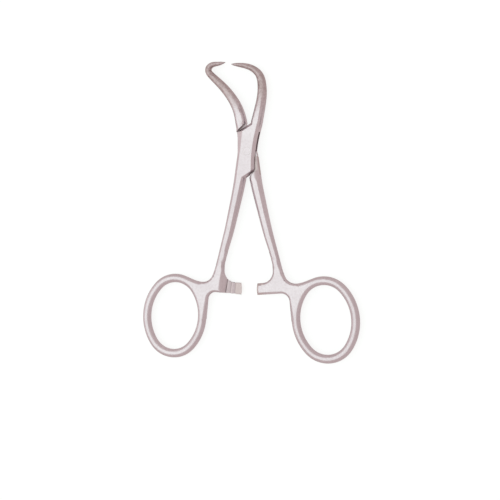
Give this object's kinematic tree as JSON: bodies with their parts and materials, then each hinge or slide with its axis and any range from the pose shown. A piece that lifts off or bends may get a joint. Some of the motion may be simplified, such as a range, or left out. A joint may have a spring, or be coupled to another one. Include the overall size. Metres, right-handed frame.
{
  "type": "towel forceps",
  "caption": "Flat steel towel forceps: two crossed ring-handled halves turning in a riveted box lock, with hooked pointed jaws and facing ratchet arms.",
  "frame": {"origin": "on the pivot axis, in the plane of the box lock's back face", "axes": "+Z through the thickness, from the back face to the front face; +Y from the finger rings towards the jaws; +X to the right of the jaws seen from the front"},
  "size_m": [0.097, 0.129, 0.0056],
  "materials": {
    "satin_steel": "satin stainless steel",
    "rivet_steel": "satin stainless steel, ground flush"
  },
  "bodies": {
    "box_side": {"box_half": "satin_steel", "pivot_pin": "rivet_steel"},
    "tongue_side": {"tongue_half": "satin_steel"}
  },
  "joints": [
    {"name": "lock_pivot", "type": "hinge", "parent": "box_side", "child": "tongue_side", "pos_m": [0, 0, 0.0028], "axis": [0, 0, 1], "range_deg": [-10.5, 32]}
  ]
}
